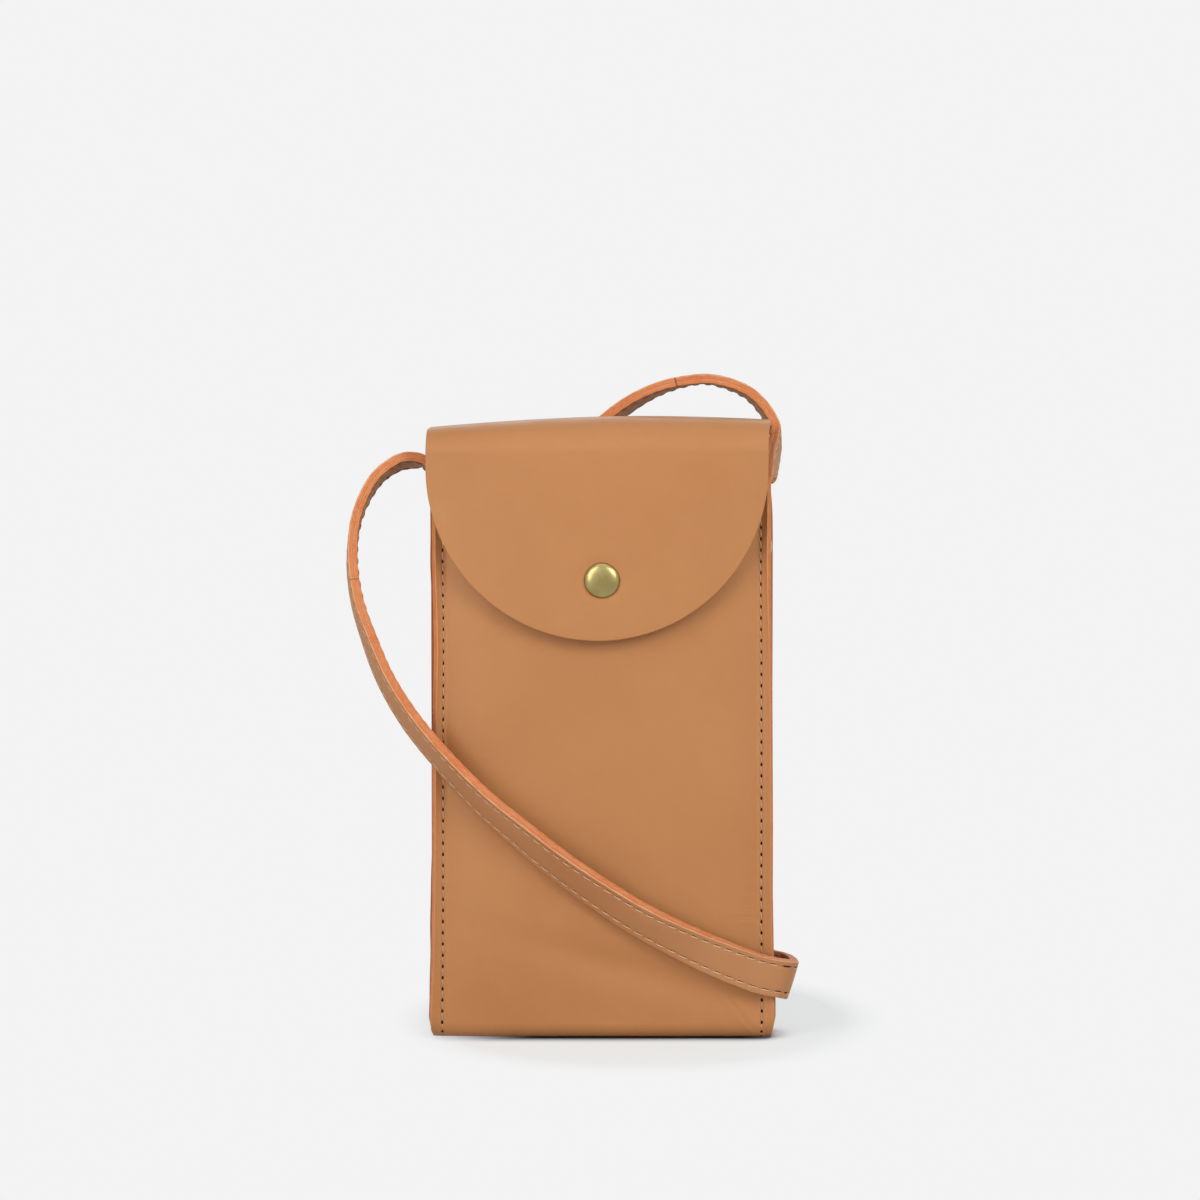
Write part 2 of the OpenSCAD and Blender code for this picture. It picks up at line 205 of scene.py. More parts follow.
# The flap lies to the left, is narrower at its right edge, is pressed in round the
# cap, waves a little, and has its sides pressed in
FLAP_SHIFT = -1.2 * MM
FLAP_NARROW = 0.6 * MM
CAP_PRESS, CAP_PRESS_RUN = 0.3 * MM, 1.4 * MM
FLAP_WAVE = 0.35 * MM
FLAP_SIDES_IN = 1.8 * MM

# By height, in mm: how far the front panel's left and right edges are drawn in, and
# how far the left and right gussets' edges reach past them (below 0, stay short)
EDGES = np.array([
    (0, 0.6, 0.5, 0, 0), (2.5, -0.05, -0.05, -0.1, -0.15), (6, 0.05, -0.15, -0.3, -0.4),
    (12, 0.3, -0.1, -0.35, -0.3), (26, 0.85, 0.3, -0.25, -0.6), (45, 1.25, 0.75, -0.25, -0.85),
    (66, 1.4, 0.75, -0.7, -1.15), (102, 1.8, 1.05, -0.7, -1.2), (118, 2.3, 1.2, -0.8, -1.25),
    (128, 2.2, 1.65, -0.5, -1.3), (145, 1.6, 2.0, -0.3, -1.5), (173, 1.4, 1.95, -0.3, -1.5),
]) * MM
BACK_IN = 0.8 * MM


def by_height(x, z, left, right):
    """A value of the table of edges at height z, for the side that x is on."""
    at_left, at_right = (np.interp(z, EDGES[:, 0], EDGES[:, k]) for k in (left, right))
    return np.where(x < 0, at_left, at_right)


def margin(x):
    """Grows from 0 inside the seam to 1 at the panel's edge."""
    return np.clip((np.abs(x) - MARGIN_X) / (EDGE_X - MARGIN_X), 0, None) ** 2


def swell(x, s):
    """How far the front and back panels stand out between their seams."""
    sideways = 1 - np.clip((np.abs(x) - (WEB_X - SIDE_RUN)) / SIDE_RUN, 0, 1) ** 2
    front = 1 - np.clip((s - (BASE_FRONT - BASE_RUN)) / BASE_RUN, 0, 1) ** 2
    low_back = 1 - np.clip((BASE_REAR + BASE_RUN - s) / BASE_RUN, 0, 1) ** 2
    high_back = 1 - np.clip((s - (REAR_FOLD - BASE_RUN)) / BASE_RUN, 0, 1) ** 2
    back = low_back * high_back
    up = np.where(s < BASE_START, FRONT_SWELL * front, BACK_SWELL * back)
    return sideways * np.where(s > REAR_FOLD, 0, up)


def panel_offset(x, s):
    """How far the leather stands off its plain side line."""
    z = side_line(s)[1]
    on_front = rise((BASE_FRONT - s) / (6 * MM))
    on_back = rise((s - BASE_REAR) / (10 * MM)) * rise((REAR_FOLD - s) / FADE_RUN)
    out = swell(x, s)
    past = np.maximum(np.abs(x) - VALLEY_X, 0)
    soft = past * past / (past + 0.6 * MM)
    in_front = s < BASE_MIDDLE
    out += soft * rise(z / (7 * MM)) * np.where(in_front, FRONT_FLARE, on_back * BACK_FLARE)
    sewn = np.where(s < SEAM_END, 1.0, 0.0)
    groove = (np.abs(x) - SEAM_X) / (0.42 * MM)
    out += (SEAM_RIM * bump(groove / 2) - SEAM_GROOVE * bump(groove)) * sewn
    out += wrinkles(x, z) * rise((BASE_START - s) / (3 * MM))
    # Slow unevenness of the flat leather
    slow = np.sin(z * 46 + x * 38) * np.cos(x * 61 - z * 17 + 0.6)
    middle = 1 - np.clip(np.abs(x) / WEB_X, 0, 1) ** 4
    out += UNEVEN * slow * middle * (on_front + on_back)
    return out


def leather(s, x):
    """Outer face of the one leather panel. s starts at the front's mouth edge and runs round
    the base, up the back, over the top and down the flap."""
    y, z, ny, nz = side_line(s)
    out = panel_offset(x, s)
    side = np.sign(x)
    share = np.clip(np.abs(x) / HALF_W, 0, 1)
    on_flap = rise((s - REAR_FOLD) / (FLAP - REAR_FOLD))
    hanging = rise((s - FRONT_FOLD) / (FLAP - FRONT_FOLD))
    on_front = 1 - rise((s - BASE_FRONT) / (BASE_REAR - BASE_FRONT))
    drawn = on_front * by_height(x, z, 1, 2) + (1 - on_front) * BACK_IN
    drawn = drawn * rise((REAR_FOLD - s) / FADE_RUN)
    drawn = drawn + np.where(x > 0, STRAP_PRESS, 0) * bump((s - REAR_FOLD + 2 * MM) / PRESS_RUN)
    drawn = drawn * margin(x)
    near_base = bump((s - BASE_MIDDLE) / (15 * MM))
    corner = np.clip((np.abs(x) - 32 * MM) / (18.5 * MM), 0, 1.1) ** 2
    lift = np.where(x < 0, *LIFTS) * near_base * corner
    sag_left = SAG_LEFT * np.clip((CREST_X - x) / SAG_LEFT_RUN, 0, 1) ** 1.7
    sag_right = SAG_RIGHT * np.clip((x - CREST_X) / SAG_RIGHT_RUN, 0, 1) ** 2
    before = rise((s - REAR_FOLD) / (BRIDGE - REAR_FOLD))
    at_top = before * (1 - rise((s - FRONT_FOLD) / (FLAP + 8 * MM - FRONT_FOLD)))
    sag = (sag_left + sag_right) * at_top
    from_cap = np.hypot(x + FLAP_SHIFT, z - SNAP_Z)
    pressed = CAP_PRESS * np.where(from_cap > CAP_R, bump((from_cap - CAP_R) / CAP_PRESS_RUN), 1)
    wave = FLAP_WAVE * np.sin((x + 20 * MM) * 42) * np.sin((TOP - z) * 40)
    out = out + hanging * (wave - FLAP_SIDES_IN * share ** 3 - pressed)
    narrow = FLAP_NARROW * np.clip(x / HALF_W, 0, 1)
    px = x - side * drawn + (FLAP_SHIFT - narrow) * on_flap
    return np.stack([px, y + ny * out, z + nz * out + lift - sag], -1)


def leather_normal(s, x):
    """Direction out of the leather's outer face."""
    step = 0.05 * MM
    along = leather(s + step, x) - leather(s - step, x)
    over = leather(s, x + step) - leather(s, x - step)
    return unit(np.cross(along, over))


# Mesh building

def add_object(name, verts, faces, materials, index=None, sharp=(), **values):
    """A mesh object. Each further keyword is a value per vertex that its materials read."""
    mesh = bpy.data.meshes.new(name)
    mesh.from_pydata(np.asarray(verts).tolist(), [], [list(map(int, f)) for f in faces])
    for m in materials:
        mesh.materials.append(m)
    if index is not None:
        mesh.polygons.foreach_set("material_index", np.asarray(index, np.int32))
    mesh.polygons.foreach_set("use_smooth", np.ones(len(mesh.polygons), bool))
    for key, value in values.items():
        attribute = mesh.attributes.new(key, "FLOAT", "POINT")
        attribute.data.foreach_set("value", np.asarray(value, np.float32))
    if len(sharp):
        wanted = {tuple(sorted(map(int, e))) for e in sharp}
        for e in mesh.edges:
            if tuple(sorted(e.vertices)) in wanted:
                e.use_edge_sharp = True
    mesh.validate()
    mesh.update()
    obj = bpy.data.objects.new(name, mesh)
    bpy.context.scene.collection.objects.link(obj)
    return obj


def grid_faces(ids, flip):
    """The faces of a grid of vertices."""
    a, b, c, d = ids[:-1, :-1], ids[:-1, 1:], ids[1:, 1:], ids[1:, :-1]
    order = (a, d, c, b) if flip else (a, b, c, d)
    return np.stack([q.ravel() for q in order], 1).tolist()


def ring_faces(ids):
    """The faces of closed rings of vertices, each joined to the next."""
    nxt = np.roll(ids, -1, axis=-1)
    corners = ids[..., :-1, :], nxt[..., :-1, :], nxt[..., 1:, :], ids[..., 1:, :]
    return np.stack(corners, -1).reshape(-1, 4)


BEVEL_ANGLES = np.radians([25, 55, 90])


def plate(name, outer, normal, thick, materials, cap=True, flip=False):
    """A sheet of leather of even thickness with rounded cut edges. outer[i, j] are places on its
    outer face, and every side is a cut edge but the last row, which is left open or capped."""
    n, m = outer.shape[:2]
    inner = outer - thick * normal
    loop = [(i, 0) for i in range(n - 1, -1, -1)] + [(0, j) for j in range(1, m)]
    loop += [(i, m - 1) for i in range(1, n)]
    rows, cols = (np.array(v) for v in zip(*loop))
    ring, ring_n = outer[rows, cols], normal[rows, cols]
    edge = np.diff(ring, axis=0)
    side = unit(np.cross(edge, ring_n[:-1] + ring_n[1:]))
    middle = outer[n // 2, m // 2]
    if np.sum((ring[: n // 2].mean(0) - middle) * side[: n // 2].mean(0)) < 0:
        side = -side
    before = np.concatenate([side[:1], side])
    after = np.concatenate([side, side[-1:]])
    share = np.maximum(1 + np.sum(before * after, -1, keepdims=True), 0.6)
    away = (before + after) / share
    steps = [(BEVEL * math.sin(a), BEVEL * (1 - math.cos(a))) for a in BEVEL_ANGLES]
    steps += [(BEVEL, thick / 2)]
    steps += [(BEVEL * math.sin(a), thick - BEVEL * (1 - math.cos(a))) for a in BEVEL_ANGLES[::-1]]
    bands = [ring + away * e - ring_n * d for e, d in steps]
    k = len(loop)
    verts = np.concatenate([outer.reshape(-1, 3), inner.reshape(-1, 3), *bands])
    top = np.arange(n * m).reshape(n, m)
    low = top + n * m
    rim = np.arange(len(bands) * k).reshape(len(bands), k) + 2 * n * m
    rim = np.concatenate([top[rows, cols][None], rim, low[rows, cols][None]])
    depth = np.concatenate([np.zeros(n * m), np.ones(n * m)] + [np.full(k, d / thick) for e, d in steps])
    face_sets = [grid_faces(top, not flip), grid_faces(rim, flip), grid_faces(low, flip)]
    index = np.concatenate([np.full(len(f), i) for i, f in enumerate(face_sets)])
    # The face's own finish runs on over the first part of the rounded edge
    index[len(face_sets[0]):len(face_sets[0]) + 2 * (k - 1)] = 0
    faces = [f for fs in face_sets for f in fs]
    sharp = []
    if cap:
        strip = np.stack([top[-1], low[-1]])
        caps = grid_faces(strip, flip)
        ends = [list(rim[:, 0]), list(rim[::-1, -1])]
        if not flip:
            ends = [e[::-1] for e in ends]
        faces += caps + ends
        index = np.concatenate([index, np.full(len(caps) + 2, 1)])
        sharp += [(a, b) for row in strip for a, b in zip(row[:-1], row[1:])]
        sharp += [(a, b) for col in (rim[:, 0], rim[:, -1]) for a, b in zip(col[:-1], col[1:])]
    return add_object(name, verts, faces, materials, index, sharp, depth=depth)


def weld(obj):
    """Joins vertices that lie on each other and drops the faces that this flattens."""
    distance = 0.004 * MM
    bm = bmesh.new()
    bm.from_mesh(obj.data)
    bmesh.ops.remove_doubles(bm, verts=bm.verts, dist=distance)
    bmesh.ops.dissolve_degenerate(bm, dist=distance, edges=bm.edges)
    bm.to_mesh(obj.data)
    bm.free()


def turns(sides):
    """Even angles round a circle."""
    return np.arange(sides) * 2 * np.pi / sides


def spread(*parts):
    """Values from several stretches (start, end, step in mm), ends included once."""
    rows = []
    for start, end, step in parts:
        count = max(1, round(abs(end - start) / (step * MM)))
        rows.append(np.linspace(start, end, count, endpoint=False))
    return np.append(np.concatenate(rows), parts[-1][1])


# Materials

def rgb(r, g, b):
    """A colour given as it shows on a screen, 0 to 255, as linear light."""
    def line(c):
        c = c / 255
        return c / 12.92 if c <= 0.04045 else ((c + 0.055) / 1.055) ** 2.4
    return (line(r), line(g), line(b), 1)


class Nodes:
    """Adds nodes to a node tree and links them."""

    def __init__(self, tree):
        self.nodes, self.links = tree.nodes, tree.links

    def add(self, kind, inputs=None, **settings):
        node = self.nodes.new("ShaderNode" + kind)
        for key, value in settings.items():
            setattr(node, key, value)
        for key, value in (inputs or {}).items():
            if isinstance(value, bpy.types.NodeSocket):
                self.links.new(value, node.inputs[key])
            else:
                node.inputs[key].default_value = value
        return node

    def mix(self, share, first, second):
        return self.add("Mix", {0: share, 6: first, 7: second}, data_type="RGBA").outputs[2]

    def chain(self, kind, *terms):
        """One operation from each term to the next."""
        total = terms[0]
        for t in terms[1:]:
            total = self.add("Math", {0: total, 1: t}, operation=kind).outputs[0]
        return total

    def sum(self, *terms):
        return self.chain("ADD", *terms)

    def times(self, *terms):
        return self.chain("MULTIPLY", *terms)

    def away(self, value, middle):
        """How far a value is from a middle, either way."""
        off = self.chain("SUBTRACT", value, middle)
        return self.add("Math", {0: off}, operation="ABSOLUTE").outputs[0]

    def seen(self):
        """1 for the rays that show the background: the camera's, reflections and glass."""
        rays = self.add("LightPath").outputs
        return self.chain("MAXIMUM", *(rays[f"Is {k} Ray"] for k in ("Camera", "Glossy", "Transmission")))

    def mix_shader(self, share, first, second):
        return self.add("MixShader", {0: share, 1: first, 2: second}).outputs[0]


class Paint(Nodes):
    """A material under construction."""

    def __init__(self, name, rough, gloss=0.5, sheen=0.0, sheen_rough=0.5, metal=0.0):
        self.material = bpy.data.materials.new(name)
        self.material.use_nodes = True
        super().__init__(self.material.node_tree)
        self.shader = self.nodes["Principled BSDF"]
        for key, value in (("Roughness", rough), ("Specular IOR Level", gloss), ("Sheen Weight", sheen),
                           ("Sheen Roughness", sheen_rough), ("Metallic", metal)):
            self.shader.inputs[key].default_value = value
        self.place = self.add("TexCoord").outputs["Object"]

    def noise(self, scale, detail, rough, place=None):
        sockets = {"Vector": place or self.place, "Scale": scale, "Detail": detail, "Roughness": rough}
        return self.add("TexNoise", sockets).outputs["Fac"]

    def span(self, value, low, high, to_low=0.0, to_high=1.0):
        sockets = {"Value": value, "From Min": low, "From Max": high, "To Min": to_low, "To Max": to_high}
        return self.add("MapRange", sockets).outputs["Result"]

    def attribute(self, name):
        return self.add("Attribute", attribute_name=name).outputs["Fac"]

    def set(self, key, value):
        self.links.new(value, self.shader.inputs[key])

    def creases(self, centre, reach, turn, pitch, high):
        """Height of the fine wrinkles round one place, turned from upright by an angle."""
        middle = Vector(centre) * MM
        off = self.add("VectorMath", {0: self.place, 1: middle}, operation="DISTANCE")
        near = self.span(off.outputs["Value"], 0, reach * MM, 1, 0)
        turned = self.add("Mapping", {"Vector": self.place, "Rotation": (0, math.radians(turn), 0)})
        sockets = {"Vector": turned.outputs["Vector"], "Scale": 0.314 / (pitch * MM), "Distortion": 3.0,
                   "Detail": 2.0, "Detail Scale": 0.4}
        wave = self.add("TexWave", sockets, wave_type="BANDS", bands_direction="X").outputs["Fac"]
        return self.times(wave, near, near, high)

    def relief(self, height, distance, strength):
        sockets = {"Height": height, "Distance": distance, "Strength": strength}
        self.set("Normal", self.add("Bump", sockets).outputs["Normal"])


def grain_leather(name, light, mid, dark, rough=0.46, grain=0.05 * MM, creases=(), gloss=0.34):
    """Smooth tanned leather: soft clouds of colour, fine pores and a satin finish."""
    p = Paint(name, rough, gloss, sheen=0.01)
    cloud = p.span(p.noise(26, 4, 0.55), 0.34, 0.66)
    mottle = p.span(p.noise(420, 3, 0.6), 0.3, 0.7)
    speck = p.span(p.noise(2600, 2, 0.6), 0.3, 0.7)
    tone = p.mix(cloud, dark, light)
    tone = p.mix(p.times(mottle, 0.34), tone, mid)
    tone = p.mix(p.times(speck, 0.16), tone, dark)
    p.set("Base Color", tone)
    p.set("Roughness", p.span(p.noise(90, 3, 0.6), 0.3, 0.7, rough - 0.05, rough + 0.06))
    cells = p.add("TexVoronoi", {"Vector": p.place, "Scale": 1500.0}, feature="SMOOTH_F1")
    pores = p.noise(3400, 3, 0.6)
    height = p.sum(p.times(cells.outputs["Distance"], 0.6), pores, p.noise(700, 2, 0.5))
    for crease in creases:
        height = p.sum(height, p.creases(*crease))
    p.relief(height, grain, 0.55)
    return p.material


def cut_edge(name, light, mid, dark, border):
    """A cut leather edge: fibrous, with a paler line along each border."""
    p = Paint(name, rough=0.6, gloss=0.3, sheen=0.1)
    depth = p.attribute("depth")
    fibre = p.span(p.noise(2400, 4, 0.7), 0.34, 0.66)
    patch = p.span(p.noise(260, 3, 0.6), 0.35, 0.65)
    tone = p.mix(fibre, dark, mid)
    tone = p.mix(p.times(patch, 0.6), tone, light)
    p.set("Base Color", p.mix(p.span(p.away(depth, 0.5), 0.33, 0.45, 0, 0.85), tone, border))
    p.relief(p.sum(p.noise(2300, 4, 0.7), p.noise(800, 2, 0.6)), 0.09 * MM, 0.8)
    return p.material


def strap_edge(name):
    """The strap's cut edge: two saturated layers with a pale fibrous line between them, a pale
    border beside the face, and fibres that run along the edge."""
    p = Paint(name, rough=0.6, gloss=0.25, sheen=0.06)
    depth, run = p.attribute("depth"), p.attribute("along")
    along, across = p.times(run, 0.2), p.times(depth, 3 * MM)
    place = p.add("CombineXYZ", {"X": along, "Y": across}).outputs["Vector"]
    fibre = p.span(p.noise(2600, 4, 0.7, place), 0.34, 0.66)
    speck = p.span(p.noise(2900, 3, 0.7), 0.45, 0.68)
    patch = p.span(p.noise(240, 3, 0.6), 0.36, 0.64)
    tone = p.mix(fibre, rgb(200, 102, 46), rgb(220, 130, 70))
    tone = p.mix(p.times(patch, 0.5), tone, rgb(222, 148, 98))
    wave = p.span(p.noise(330, 2, 0.6), 0.3, 0.7, -0.05, 0.05)
    level = p.sum(depth, wave)
    middle = p.times(p.span(p.away(level, 0.5), 0.06, 0.2, 1, 0), p.span(speck, 0, 1, 0.2, 0.9))
    tone = p.mix(middle, tone, rgb(216, 160, 126))
    tone = p.mix(p.span(level, 0.06, 0.16, 0.8, 0), tone, rgb(232, 180, 140))
    tone = p.mix(p.span(level, 0.84, 0.95, 0, 0.55), tone, rgb(226, 150, 92))
    # Painted shade where the edge has a small nick, and a dark splice line
    for place_at, half in EDGE_NICK_SHADE_AND_SPLICE:
        mark = p.span(p.away(run, place_at * MM), 0.3 * half * MM, half * MM, 0.75, 0)
        tone = p.mix(mark, tone, rgb(120, 66, 34))
    p.set("Base Color", tone)
    p.relief(p.sum(p.noise(2500, 4, 0.7, place), p.noise(800, 2, 0.6)), 0.08 * MM, 0.8)
    return p.material


def flesh_leather(name, light, dark):
    """The rougher inner face of leather."""
    p = Paint(name, rough=0.8, gloss=0.22, sheen=0.15, sheen_rough=0.6)
    nap = p.span(p.noise(1500, 5, 0.75), 0.3, 0.7)
    cloud = p.span(p.noise(70, 3, 0.6), 0.35, 0.65)
    p.set("Base Color", p.mix(p.times(nap, p.times(cloud, 0.5)), light, dark))
    p.relief(p.sum(p.noise(1700, 4, 0.7), p.noise(500, 2, 0.6)), 0.12 * MM, 0.8)
    return p.material


def thread_paint(name, light, dark):
    """Waxed thread: fine slanting plies."""
    p = Paint(name, rough=0.55, gloss=0.3, sheen=0.1, sheen_rough=0.4)
    ply = p.span(p.noise(3600, 3, 0.6), 0.35, 0.65)
    p.set("Base Color", p.mix(ply, dark, light))
    p.relief(p.noise(4200, 2, 0.6), 0.06 * MM, 0.8)
    return p.material


def shade_spot_paint(name, tone):
    """Painted shade for a stitch hole or a stitch's slot: a dark colour that stands for the shade in it."""
    p = Paint(name, rough=0.9, gloss=0.1)
    p.set("Base Color", p.mix(p.span(p.noise(2600, 2, 0.5), 0.3, 0.7), tone, rgb(24, 12, 6)))
    return p.material


def brass_paint(name, light, mid, dark):
    """Aged brass: uneven lacquer, faint fine marks and darker specks."""
    rough = 0.3
    p = Paint(name, rough, metal=1.0)
    cloud = p.span(p.noise(210, 3, 0.5), 0.36, 0.64)
    speck = p.span(p.noise(1700, 3, 0.7), 0.5, 0.75)
    tone = p.mix(cloud, mid, light)
    tone = p.mix(p.times(speck, 0.16), tone, dark)
    p.set("Base Color", tone)
    p.set("Roughness", p.span(p.noise(700, 3, 0.6), 0.3, 0.7, rough - 0.02, rough + 0.05))
    p.relief(p.noise(2600, 3, 0.6), 0.004 * MM, 0.4)
    return p.material


def steel_paint(name):
    """Drawn spring wire."""
    p = Paint(name, rough=0.28, metal=1.0)
    p.set("Base Color", p.mix(p.noise(1800, 3, 0.6), rgb(150, 150, 154), rgb(205, 205, 208)))
    p.relief(p.noise(2600, 2, 0.6), 0.01 * MM, 0.5)
    return p.material


# Places with fine wrinkles: middle and reach in mm, direction, pitch in mm and height
CREASES = [
    ((33, -13, 121), 11, 10, 1.1, 0.9),
    ((-41, -13, 112), 12, -4, 1.2, 0.6),
    ((-42, -13, 92), 10, 3, 1.3, 0.4),
    ((41, -12, 12), 8, 40, 1.0, 1.0),
    ((45, -12, 40), 10, 88, 1.2, 0.8),
]
# Dark marks across the strap's edge (painted shade for a small nick, then a dark splice line): distance
# along it and half length in mm
EDGE_NICK_SHADE_AND_SPLICE = [(551.8, 0.4), (85.2, 0.22)]

LEATHER = grain_leather(
    "tan_leather", rgb(191, 131, 80), rgb(188, 128, 77), rgb(184, 124, 74), creases=CREASES)
GUSSET_LEATHER = grain_leather(
    "gusset_leather", rgb(184, 124, 77), rgb(178, 118, 72), rgb(170, 111, 66))
STRAP_FACE = grain_leather(
    "strap_leather", rgb(198, 141, 97), rgb(194, 136, 92), rgb(188, 130, 86), 0.55, gloss=0.12)
STRAP_BACK = grain_leather(
    "strap_back_leather", rgb(182, 132, 96), rgb(174, 124, 88), rgb(164, 114, 78),
    0.6, 0.09 * MM, gloss=0.1)
ORANGE_EDGE = cut_edge(
    "cut_edge", rgb(224, 146, 92), rgb(215, 130, 72), rgb(202, 112, 54), rgb(234, 168, 122))
STRAP_EDGE = strap_edge("strap_cut_edge")
# The gussets' cut edge: the orange cut edge in darker tones, painted shade for an edge that lies in the
# channel's shade
GUSSET_EDGE_SHADED = cut_edge(
    "gusset_cut_edge_painted_shade", rgb(178, 104, 62), rgb(160, 88, 48), rgb(138, 70, 36), rgb(176, 104, 66))
FLESH = flesh_leather("leather_inside", rgb(192, 142, 98), rgb(168, 118, 76))
THREAD = thread_paint("seam_thread", rgb(206, 164, 130), rgb(176, 128, 94))
STRAP_THREAD = thread_paint("strap_thread", rgb(232, 192, 154), rgb(204, 158, 120))
BACK_THREAD = thread_paint("strap_back_thread", rgb(186, 146, 112), rgb(134, 96, 68))
# Painted shade for the stitch holes and for the slots beside the strap's stitches
HOLE_SHADE = shade_spot_paint("stitch_hole_painted_shade", rgb(72, 40, 20))
SLOT_SHADE = shade_spot_paint("stitch_slot_painted_shade", rgb(88, 50, 28))
BRASS = brass_paint("aged_brass", rgb(172, 156, 104), rgb(154, 138, 88), rgb(116, 100, 60))
PLAIN_BRASS = brass_paint("plain_brass", rgb(214, 184, 112), rgb(196, 164, 92), rgb(150, 118, 60))
STEEL = steel_paint("spring_steel")


# The wrap and the flap

def across():
    """Places across the panel, closer together at the snap, the seams and the edges."""
    right = spread((0, 9 * MM, 0.9), (9 * MM, 28 * MM, 1.9), (28 * MM, 46 * MM, 0.75),
                   (46 * MM, 51.4 * MM, 0.2), (51.4 * MM, EDGE_X, 0.3))
    return np.concatenate([-right[:0:-1], right])


def panel(name, s, x, flip=False):
    """A sheet of the body's leather over the places (s, x)."""
    return plate(name, leather(s, x), leather_normal(s, x), LEATHER_T, [LEATHER, ORANGE_EDGE, FLESH],
                 flip=flip)


def make_wrap():
    coarse = 116 * MM
    s = spread((BEVEL, coarse, 1.6), (coarse, BASE_FRONT, 0.6), (BASE_FRONT, BASE_START, 0.6),
               (BASE_START, BASE_END, 1.4), (BASE_END, BASE_REAR, 0.6), (BASE_REAR, REAR_FOLD, 2),
               (REAR_FOLD, BRIDGE, 0.6), (BRIDGE, CUT, 1))
    piece = panel("wrap", *np.meshgrid(s, across(), indexing="ij"))
    # The front's mouth lies before the start, and the cut across the top past the end
    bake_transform(piece)
    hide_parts("body_wrap", "flap_bridge")


def flap_grid():
    """Flat places (s, x) on the flap, from its round edge back to the cut across the top."""
    columns = across() / EDGE_X
    rows = 56

    def on_arc(angle):
        return np.stack([EDGE_X * np.cos(angle), -EDGE_X * np.sin(angle)], -1)

    # Coons patch over the half disc, with its lower corners halfway along the arc
    v = np.linspace(0, 1, rows)[:, None]
    u = (columns[None, :] + 1) / 2
    left, right = on_arc(np.pi + v * np.pi / 4), on_arc(-v * np.pi / 4)
    low = on_arc(1.25 * np.pi + u * np.pi / 2)
    high = np.stack([EDGE_X * columns[None, :], np.zeros((1, len(columns)))], -1)
    u, v = u[..., None], v[..., None]
    blend = (1 - v) * high + v * low + (1 - u) * left + u * right
    upper = (1 - u) * high[:, :1] + u * high[:, -1:]
    lower = (1 - u) * low[:, :1] + u * low[:, -1:]
    patch = blend - ((1 - v) * upper + v * lower)
    patch_x, patch_s = patch[::-1, :, 0], ARC + patch[::-1, :, 1]
    s = spread((ARC, FLAP, 1.2), (FLAP, FRONT_FOLD, 0.6), (FRONT_FOLD, CUT, 1))[1:]
    body_s, body_x = np.meshgrid(s, EDGE_X * columns, indexing="ij")
    return np.concatenate([patch_s, body_s]), np.concatenate([patch_x, body_x])


def make_flap():
    piece = panel("flap", *flap_grid(), flip=True)
    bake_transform(piece)
    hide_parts("flap_panel")


# Gussets

FOLD_R = 0.9 * MM
WEB_HOLLOW = 0.7 * MM


def gusset_grid(side):
    """Channel side of a gusset: a flange along the panels, a fold and the web."""
    coarse = 100 * MM
    s = spread((BEVEL, coarse, 3), (coarse, BASE_FRONT, 1.5), (BASE_FRONT, BASE_START, 0.8),
               (BASE_START, BASE_END, 1.1), (BASE_END, BASE_REAR, 0.8),
               (BASE_REAR, SEAM_END - coarse, 1.5), (SEAM_END - coarse, SEAM_END - BEVEL, 3))
    flange_x = side * spread((EDGE_X, WEB_X + FOLD_R, 0.4))
    grid_s, grid_x = np.meshgrid(s, flange_x, indexing="ij")
    lead_n = leather_normal(grid_s, grid_x)
    flange = leather(grid_s, grid_x) - lead_n * (LEATHER_T + BOND + GUSSET_T)
    on_front = 1 - rise((grid_s - BASE_FRONT) / (BASE_REAR - BASE_FRONT))
    ripple = 0.09 * MM * np.sin(grid_s * 310) * np.sin(grid_s * 83 + side)
    past = on_front * (by_height(grid_x, side_line(grid_s)[1], 3, 4) + ripple)
    flange[..., 0] += side * past * margin(grid_x)
    start, into = flange[:, -1], -lead_n[:, -1]
    centre = start + into * FOLD_R
    sideways = np.array([side, 0, 0])
    angles = np.radians([22, 45, 68, 90])
    fold_n = np.stack([unit(into * math.cos(a) + sideways * math.sin(a)) for a in angles], 1)
    fold = centre[:, None] - FOLD_R * fold_n
    foot = fold[:, -1]
    spine = np.stack([foot[:, 0], np.zeros(len(s)), np.clip(foot[:, 2], 10 * MM, None)], -1)
    shares = np.array([0.12, 0.26, 0.42, 0.6, 0.8, 1.0])[None, :, None]
    web = foot[:, None] * (1 - shares) + spine[:, None] * shares
    hollow = WEB_HOLLOW * (1 - (web[..., 1] / (HALF_D - 3 * MM)) ** 2)
    hollow = hollow * rise((web[..., 2] - 6 * MM) / (30 * MM))
    web[..., 0] -= side * np.maximum(hollow, 0) * rise((MOUTH_Z - 20 * MM - web[..., 2]) / (60 * MM))
    web_n = np.broadcast_to(sideways, web.shape)
    places = np.concatenate([flange, fold, web], 1)
    normals = np.concatenate([-lead_n, fold_n, web_n], 1)
    return np.swapaxes(places, 0, 1), np.swapaxes(normals, 0, 1)


def make_gusset(side):
    places, normals = gusset_grid(side)
    name = "gusset_left" if side < 0 else "gusset_right"
    piece = plate(name + "_piece", places, normals, GUSSET_T, [GUSSET_LEATHER, GUSSET_EDGE_SHADED, FLESH],
                  cap=False, flip=side > 0)
    weld(piece)
    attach(piece, "pouch")
    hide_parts(name)


# Stitches

